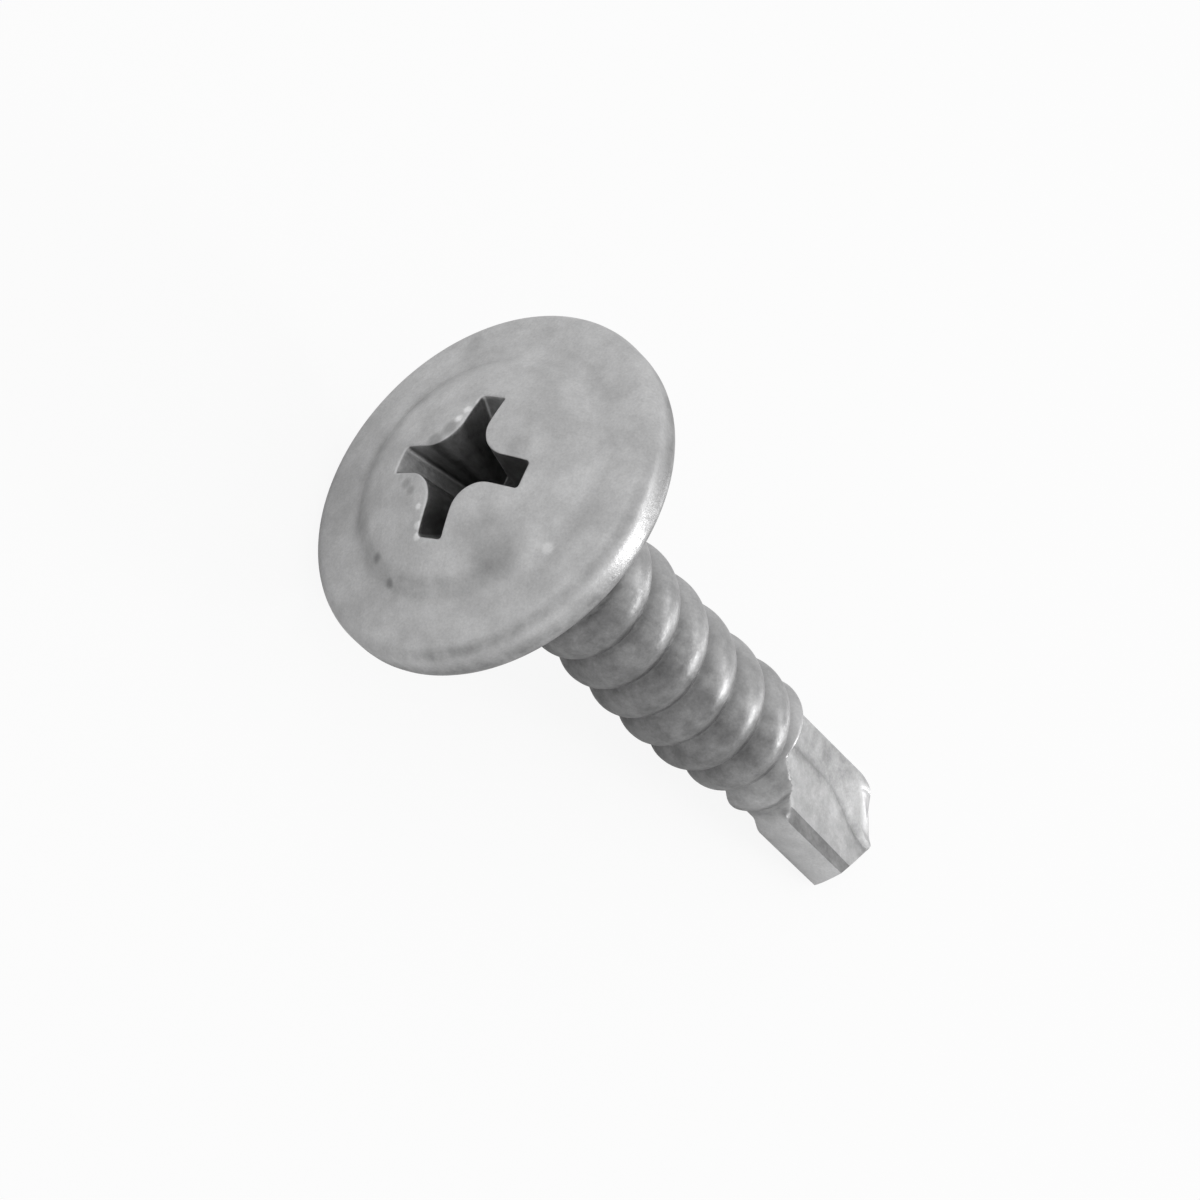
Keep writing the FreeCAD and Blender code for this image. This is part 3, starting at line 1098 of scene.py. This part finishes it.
@dataclass
class Screw:
    """The whole screw as one closed skin."""

    name: str = "screw_skin"
    head: Head = field(default_factory=Head)
    shank: Shank = field(default_factory=Shank)
    point: DrillPoint = field(default_factory=DrillPoint)
    thread: ThreadRolling = field(default_factory=ThreadRolling)
    light_and_tone: PlateLightAndTone = field(default_factory=PlateLightAndTone)
    pose: RestingPose = field(default_factory=RestingPose)

    def blank(self) -> bpy.types.Object:
        """Skin the screw without its thread, upright, in millimetres.

        Returns:
            An object that holds the closed skin, how far each point is on the stem and
            how bright its plating is.
        """
        head = self.head.rings()
        shank = self.shank.rings(self.point)
        point = self.point.rings()
        rings = head + shank + point
        recess = self.head.recess
        skin = bmesh.new()
        stem = skin.verts.layers.float.new("stem")
        light_and_tone = skin.verts.layers.float.new("light_and_tone")
        bottom = skin.verts.new(
            (0.0, 0.0, recess.mouth_level - recess.depth - recess.point_depth)
        )
        rows = []
        first_shank, first_point = len(head), len(head) + len(shank)
        in_recess = len(recess.rings(self.head.top)) - len(recess.lip_turns_deg)
        for number, ring in enumerate(rings):
            row = []
            cuts = self.point.cuts(-ring[0][2]) if number >= first_point else []
            for column, (x, y, level) in enumerate(ring):
                corner = skin.verts.new((x, y, level))
                inside = number < in_recess
                # Painted light: painted shade in the recess, on the head, the thread and the flutes,
                # and a painted highlight on the facet below.
                corner[light_and_tone] = (
                    self.light_and_tone.in_recess(level) if inside else self.light_and_tone.on_head(x, y, level)
                )
                if number >= first_shank:
                    corner[stem] = 1.0
                    corner[light_and_tone] = self.light_and_tone.on_stem(x, y, -level)
                if number >= first_point:
                    cut = cuts[column]
                    if column % HALF not in self.point.land():
                        corner[stem] -= cut
                    flute_light_and_tone = self.light_and_tone.in_flute(self.point, column)
                    corner[light_and_tone] = between(corner[light_and_tone], flute_light_and_tone, cut)
                    # Painted highlight on the facet by the lip.
                    corner[light_and_tone] += self.light_and_tone.facet * self.point.facet(x, y, -level)
                row.append(corner)
            rows.append(row)
        tip = skin.verts.new((0.0, 0.0, -self.point.length))
        for row, following in zip(rows, rows[1:]):
            for column in range(COLUMNS):
                after = (column + 1) % COLUMNS
                skin.faces.new((row[column], row[after], following[after], following[column]))
        for column in range(COLUMNS):
            after = (column + 1) % COLUMNS
            skin.faces.new((rows[0][after], rows[0][column], bottom))
            skin.faces.new((rows[-1][column], rows[-1][after], tip))
        bmesh.ops.recalc_face_normals(skin, faces=skin.faces[:])
        for face in skin.faces:
            face.smooth = True
        mesh = bpy.data.meshes.new("screw_blank")
        skin.to_mesh(mesh)
        skin.free()
        return bpy.data.objects.new("screw_blank", mesh)

    def build(self, finish: bpy.types.Material) -> bpy.types.Object:
        """Make the dressed screw and put it in place of the solid.

        Args:
            finish: Material of the screw.

        Returns:
            The finished piece.
        """
        blank = self.blank()
        bpy.context.scene.collection.objects.link(blank)
        mesh = self.thread.roll(blank, finish)
        bpy.data.objects.remove(blank)
        own = mesh.attributes.new("screw_mm", "FLOAT_VECTOR", "POINT")
        for corner, place in zip(mesh.vertices, own.data):
            place.vector = corner.co
        mesh.transform(self.pose.matrix())
        mesh.update()
        piece = bpy.data.objects.new(self.name, mesh)
        bpy.context.scene.collection.objects.link(piece)
        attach(piece, "root")
        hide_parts("screw")
        return piece


@dataclass(frozen=True)
class Mark:
    """A round spot on the plating, brighter or duller than what is round it; some are real marks,
    some painted highlights, some painted shade.
    """

    centre: Point
    radius: float
    brightness: float


@dataclass(frozen=True)
class Mottle:
    """A noise pattern, the part of its range that counts, and how far it swings."""

    scale: float
    detail: float
    rough: float
    span: Flat
    swing: float


@dataclass(frozen=True)
class ZincPlate:
    """Dull bright zinc: finely mottled plating, with painted shade in the thread's valleys and round
    marks, some real, some painted highlights and shade.
    """

    colour: float = 0.60
    blueness: float = 1.005
    valley_shade: float = 0.30
    cloud: Mottle = Mottle(0.9, 3.0, 0.55, (0.35, 0.65), 0.10)
    grain: Mottle = Mottle(14.0, 3.0, 0.70, (0.30, 0.70), 0.09)
    speckle: Mottle = Mottle(4.0, 2.0, 0.55, (0.30, 0.70), 0.03)
    blotch: Mottle = Mottle(1.7, 4.0, 0.65, (0.35, 0.65), 0.22)
    blotched_tones: Flat = (0.6, 0.9)
    gloss: Mottle = Mottle(6.0, 3.0, 0.55, (0.30, 0.70), 0.055)
    roughness: float = 0.405
    relief: Mottle = Mottle(9.0, 4.0, 0.60, (0.0, 1.0), 0.25)
    relief_depth: float = 0.00003
    mark_core: float = 0.45
    marks: tuple[Mark, ...] = (
        # Painted shade of a dent beside the recess; the dent itself isn't modelled.
        Mark((1.90, -2.12, 1.94), 1.20, 0.80),
        Mark((2.10, -2.45, 1.78), 0.80, 0.84),
        # Painted highlight on the dent's edge.
        Mark((3.44, -1.79, 1.55), 0.22, 1.30),
        Mark((-1.78, -2.84, 1.72), 0.20, 0.66),
        Mark((-1.13, -3.45, 1.59), 0.18, 0.66),
        Mark((1.66, 0.65, 2.27), 0.45, 0.86),
        # Painted shade where the recess's corner is worn into a slope.
        Mark((-1.16, 0.50, 2.38), 0.32, 0.66),
        Mark((-0.84, 0.92, 2.38), 0.32, 0.66),
        # Painted glints along the edges of the recess's arms.
        Mark((-0.43, 1.88, 2.24), 0.14, 1.45),
        Mark((-0.64, 1.55, 2.30), 0.16, 1.45),
        Mark((-0.74, 1.23, 2.35), 0.16, 1.45),
        Mark((-2.01, 0.10, 2.22), 0.18, 1.45),
        Mark((-2.02, -0.40, 2.20), 0.18, 1.45),
        Mark((-0.73, -1.46, 2.31), 0.12, 1.45),
        Mark((-0.56, -1.96, 2.21), 0.15, 1.45),
        Mark((-0.47, -2.26, 2.13), 0.15, 1.45),
        Mark((3.52, -3.99, 1.27), 0.17, 0.62),
        Mark((3.30, -4.22, 1.26), 0.17, 0.62),
        Mark((3.05, -4.46, 1.25), 0.16, 0.66),
        Mark((-0.04, 4.53, 1.42), 0.40, 0.90),
        Mark((-2.32, 4.00, 1.40), 0.40, 0.90),
        Mark((1.61, -1.10, -11.14), 0.34, 0.62),
        Mark((1.52, -1.14, -12.77), 0.34, 0.60),
        Mark((1.31, -1.09, -13.86), 0.28, 0.72),
        Mark((0.97, -1.35, -14.48), 0.24, 0.66),
        Mark((0.20, -1.69, -14.37), 0.22, 0.70),
        Mark((0.24, -1.99, -10.03), 0.34, 0.72),
        Mark((1.61, -1.19, -6.67), 0.45, 0.78),
        Mark((1.94, -0.48, -9.79), 0.15, 1.60),
        Mark((1.57, 0.77, -13.01), 0.30, 0.62),
        Mark((1.09, -1.68, -9.79), 0.40, 0.84),
        Mark((1.49, -1.18, -10.00), 0.45, 0.80),
        # Painted shade that widens the end of the recess's left arm.
        Mark((-1.53, -0.84, 2.36), 0.24, 0.70),
        Mark((-1.25, -1.03, 2.36), 0.20, 0.74),
        Mark((-1.88, -0.66, 2.36), 0.20, 0.74),
    )

    def material(self) -> bpy.types.Material:
        """Build the finish.

        Returns:
            The node material.
        """
        plate = bpy.data.materials.new("zinc_plate")
        plate.use_nodes = True
        nodes, links = plate.node_tree.nodes, plate.node_tree.links
        nodes.clear()
        leave = nodes.new("ShaderNodeOutputMaterial")
        shader = nodes.new("ShaderNodeBsdfPrincipled")
        links.new(shader.outputs[0], leave.inputs[0])
        shader.inputs["Metallic"].default_value = 1.0
        own = nodes.new("ShaderNodeAttribute")
        own.attribute_name = "screw_mm"
        wiring = Wiring(plate.node_tree)

        def painted(name: str) -> bpy.types.NodeSocket:
            """Read a value stored on the mesh.

            Args:
                name: Name of the attribute.

            Returns:
                The value.
            """
            node = nodes.new("ShaderNodeAttribute")
            node.attribute_name = name
            return node.outputs["Fac"]

        def noise(mottle: Mottle) -> bpy.types.NodeSocket:
            """Add a noise pattern in the screw's own millimetres.

            Args:
                mottle: The pattern.

            Returns:
                Its value.
            """
            node = nodes.new("ShaderNodeTexNoise")
            node.inputs["Scale"].default_value = mottle.scale
            node.inputs["Detail"].default_value = mottle.detail
            node.inputs["Roughness"].default_value = mottle.rough
            links.new(own.outputs["Vector"], node.inputs["Vector"])
            return node.outputs[0]

        def swung(mottle: Mottle, middle: float = 1.0) -> bpy.types.NodeSocket:
            """A value that swings about its middle as a pattern does."""
            low, high = middle - mottle.swing, middle + mottle.swing
            return wiring.ranged(Ease.STRAIGHT, noise(mottle), *mottle.span, low, high)

        value = wiring.product(swung(self.cloud), swung(self.grain), swung(self.speckle))
        light_and_tone = painted("light_and_tone")
        even = nodes.new("ShaderNodeMix")
        evenness = wiring.ranged(Ease.STRAIGHT, light_and_tone, *self.blotched_tones, 0.0, 1.0)
        wiring.plug(even.inputs["Factor"], evenness)
        wiring.plug(even.inputs["A"], wiring.product(light_and_tone, swung(self.blotch)))
        wiring.plug(even.inputs["B"], light_and_tone)
        # Painted shade: the thread's valleys darker than its ridges.
        valley_shaded = 1.0 - self.valley_shade
        wear_and_shade = wiring.ranged(Ease.STRAIGHT, painted("proud"), 0.0, 1.0, valley_shaded, 1.0)
        value = wiring.product(value, even.outputs["Result"], wear_and_shade)
        # Marks: real pits, smudges and scratches, painted highlights and painted shade.
        for mark in self.marks:
            apart = nodes.new("ShaderNodeVectorMath")
            apart.operation = "DISTANCE"
            links.new(own.outputs["Vector"], apart.inputs[0])
            apart.inputs[1].default_value = mark.centre
            limits = (mark.radius * self.mark_core, mark.radius, mark.brightness, 1.0)
            stain = wiring.ranged(Ease.STRAIGHT, apart.outputs["Value"], *limits)
            value = wiring.product(value, stain)
        tint = nodes.new("ShaderNodeMix")
        tint.data_type = "RGBA"
        tint.blend_type = "MULTIPLY"
        tint.inputs["Factor"].default_value = 1.0
        tint.inputs["A"].default_value = (
            self.colour, self.colour, self.colour * self.blueness, 1.0
        )
        spread = nodes.new("ShaderNodeCombineColor")
        for socket in spread.inputs[:3]:
            links.new(value, socket)
        links.new(spread.outputs[0], tint.inputs["B"])
        links.new(tint.outputs["Result"], shader.inputs["Base Color"])
        links.new(swung(self.gloss, self.roughness), shader.inputs["Roughness"])
        bump = nodes.new("ShaderNodeBump")
        bump.inputs["Strength"].default_value = self.relief.swing
        bump.inputs["Distance"].default_value = self.relief_depth
        links.new(noise(self.relief), bump.inputs["Height"])
        links.new(bump.outputs[0], shader.inputs["Normal"])
        return plate


@dataclass(frozen=True)
class Lamp:
    """A soft lamp that faces the screw: its place and sides in metres, its power in watts."""

    name: str
    spot: Point
    sides: Flat
    power: float

    def hang(self) -> bpy.types.Object:
        """Put the lamp in the scene.

        Returns:
            The lamp.
        """
        data = bpy.data.lights.new(self.name, "AREA")
        data.shape = "RECTANGLE"
        data.size, data.size_y = self.sides
        data.energy = self.power
        lamp = bpy.data.objects.new(self.name, data)
        lamp.location = self.spot
        lamp.rotation_euler = (-Vector(self.spot)).to_track_quat("-Z", "Y").to_euler()
        bpy.context.scene.collection.objects.link(lamp)
        return lamp


@dataclass
class Studio:
    """Pale floor, white surround, soft lamps and the camera."""

    pose: RestingPose = field(default_factory=RestingPose)
    lens_mm: float = 167.46
    distance: float = 147.9
    shift_right: float = -2.45
    shift_down: float = -2.48
    look_down_deg: float = 45.9
    image_turn_deg: float = 44.29
    facing_deg: float = -27.0
    clip_start: float = 0.01
    floor_size: float = 1.2
    floor_grey: float = 0.8
    floor_glow: float = 0.9
    surround_grey: float = 0.78
    lamps: tuple[Lamp, ...] = (
        Lamp("key_lamp", (0.212, -0.018, 0.130), (0.07, 0.06), 0.115),
        Lamp("top_lamp", (0.120, 0.045, 0.220), (0.12, 0.03), 0.032),
        Lamp("tip_lamp", (0.190, 0.075, 0.030), (0.06, 0.04), 0.016),
    )

    def camera(self) -> bpy.types.Object:
        """Set the camera at the photograph's viewing angle.

        Returns:
            The camera.
        """
        down, turn = math.radians(self.look_down_deg), math.radians(self.image_turn_deg)
        facing = math.radians(self.facing_deg)
        axis = Vector((0.0, 0.0, 1.0))
        near = Vector((math.cos(facing), math.sin(facing), 0.0))
        across = axis.cross(near)
        along = near * math.cos(down) - axis * math.sin(down)
        right = across * math.sin(turn) + along * math.cos(turn)
        lower = along * math.sin(turn) - across * math.cos(turn)
        back = axis * math.cos(down) + near * math.sin(down)
        place = back * self.distance - right * self.shift_right - lower * self.shift_down
        view = Matrix((right, -lower, back)).transposed().to_4x4()
        view.translation = place
        lying = self.pose.matrix() @ view
        spot, turned, _ = lying.decompose()
        data = bpy.data.cameras.new("camera")
        data.lens = self.lens_mm
        data.clip_start = self.clip_start
        eye = bpy.data.objects.new("camera", data)
        eye.matrix_world = Matrix.Translation(spot) @ turned.to_matrix().to_4x4()
        bpy.context.scene.collection.objects.link(eye)
        bpy.context.scene.camera = eye
        return eye

    def floor(self) -> bpy.types.Object:
        """Lay the pale floor.

        Returns:
            The floor.
        """
        pale = bpy.data.materials.new("pale_floor")
        pale.use_nodes = True
        nodes, links = pale.node_tree.nodes, pale.node_tree.links
        nodes.clear()
        leave = nodes.new("ShaderNodeOutputMaterial")
        matt = nodes.new("ShaderNodeBsdfDiffuse")
        matt.inputs["Color"].default_value = (*[self.floor_grey] * 3, 1.0)
        glow = nodes.new("ShaderNodeEmission")
        blend = nodes.new("ShaderNodeMixShader")
        path = nodes.new("ShaderNodeLightPath")
        wiring = Wiring(pale.node_tree)
        share = wiring.compute("MULTIPLY", path.outputs["Is Camera Ray"], self.floor_glow)
        links.new(share, blend.inputs[0])
        links.new(matt.outputs[0], blend.inputs[1])
        links.new(glow.outputs[0], blend.inputs[2])
        links.new(blend.outputs[0], leave.inputs[0])
        bpy.ops.mesh.primitive_plane_add(size=self.floor_size, location=(0.0, 0.0, 0.0))
        ground = bpy.context.object
        ground.name = "floor"
        ground.data.materials.append(pale)
        ground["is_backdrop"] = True
        return ground

    def surround(self) -> None:
        """Make the world white to the camera and pale grey to everything else."""
        world = bpy.data.worlds.new("surround")
        bpy.context.scene.world = world
        world.use_nodes = True
        nodes, links = world.node_tree.nodes, world.node_tree.links
        nodes.clear()
        leave = nodes.new("ShaderNodeOutputWorld")
        room = nodes.new("ShaderNodeBackground")
        white = nodes.new("ShaderNodeBackground")
        room.inputs["Color"].default_value = (*[self.surround_grey] * 3, 1.0)
        path = nodes.new("ShaderNodeLightPath")
        blend = nodes.new("ShaderNodeMixShader")
        links.new(path.outputs["Is Camera Ray"], blend.inputs[0])
        links.new(room.outputs[0], blend.inputs[1])
        links.new(white.outputs[0], blend.inputs[2])
        links.new(blend.outputs[0], leave.inputs[0])


def corners(box: object) -> list[list[float]]:
    """A box as plain lists of numbers."""
    return [[float(value) for value in corner] for corner in box]


def main() -> None:
    """Build the screw and its studio, and measure the sizes before and after."""
    logging.basicConfig(level=logging.INFO)
    bpy.context.scene.view_settings.view_transform = "Standard"
    solid_box = corners(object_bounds())
    finish = ZincPlate().material()
    screw = Screw()
    piece = screw.build(finish)
    LOG.info("%s: %d faces", piece.name, len(piece.data.polygons))
    studio = Studio(pose=screw.pose)
    LOG.info("%s lens %.1f mm", studio.camera().name, studio.lens_mm)
    LOG.info("%s laid", studio.floor().name)
    studio.surround()
    for lamp in studio.lamps:
        LOG.info("%s hung", lamp.hang().name)
    {"cad": solid_box, "visual": corners(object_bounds())}


if __name__ == "__main__":
    main()
